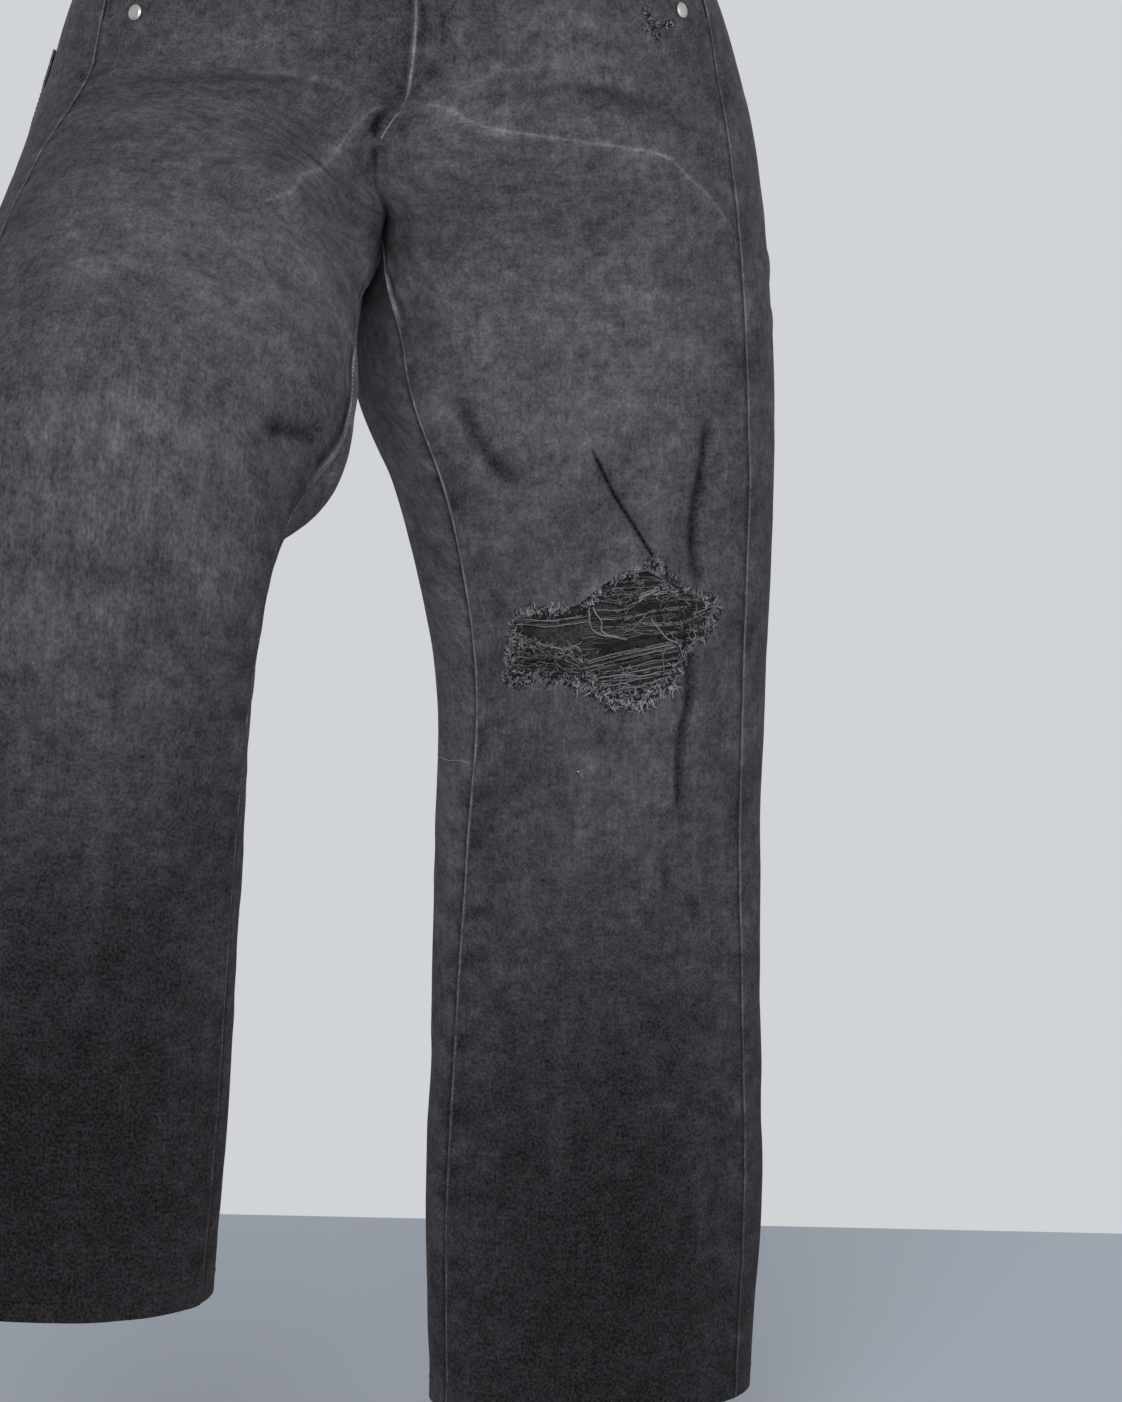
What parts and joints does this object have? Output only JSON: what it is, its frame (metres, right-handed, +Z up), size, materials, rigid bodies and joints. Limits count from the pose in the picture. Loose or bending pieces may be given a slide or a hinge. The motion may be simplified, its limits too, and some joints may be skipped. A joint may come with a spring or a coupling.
{
  "type": "ripped jeans",
  "caption": "Worn washed-black straight-leg jeans, one thigh raised, torn open at the left knee over a dark cloth patch.",
  "frame": {"origin": "centre of the waist opening, level with the waistband's top edge at the side seams", "axes": "+Z up the standing leg, -Y the front of the garment, +X the wearer's left"},
  "size_m": [0.5623, 0.4571, 0.976],
  "materials": {
    "denim": "washed black twill, faded on the thighs and darker on the shins, matt",
    "backing": "plain dark cloth behind the torn knee, matt",
    "metal": "pale worn metal"
  },
  "bodies": {
    "root": {"front_left": "denim", "front_right": "denim", "back_left": "denim", "back_right": "denim", "yoke_left": "denim", "yoke_right": "denim", "waistband": "denim", "front_pocket_left": "denim", "front_pocket_right": "denim", "fly_shield": "denim", "back_pocket_left": "denim", "back_pocket_right": "denim", "hem_left": "denim", "hem_right": "denim", "belt_loop_front_left": "denim", "belt_loop_front_right": "denim", "belt_loop_side_left": "denim", "belt_loop_side_right": "denim", "belt_loop_back": "denim", "knee_patch": "backing", "rivet_upper_left": "metal", "rivet_lower_left": "metal", "rivet_upper_right": "metal", "rivet_lower_right": "metal", "waist_button": "metal"}
  },
  "joints": []
}
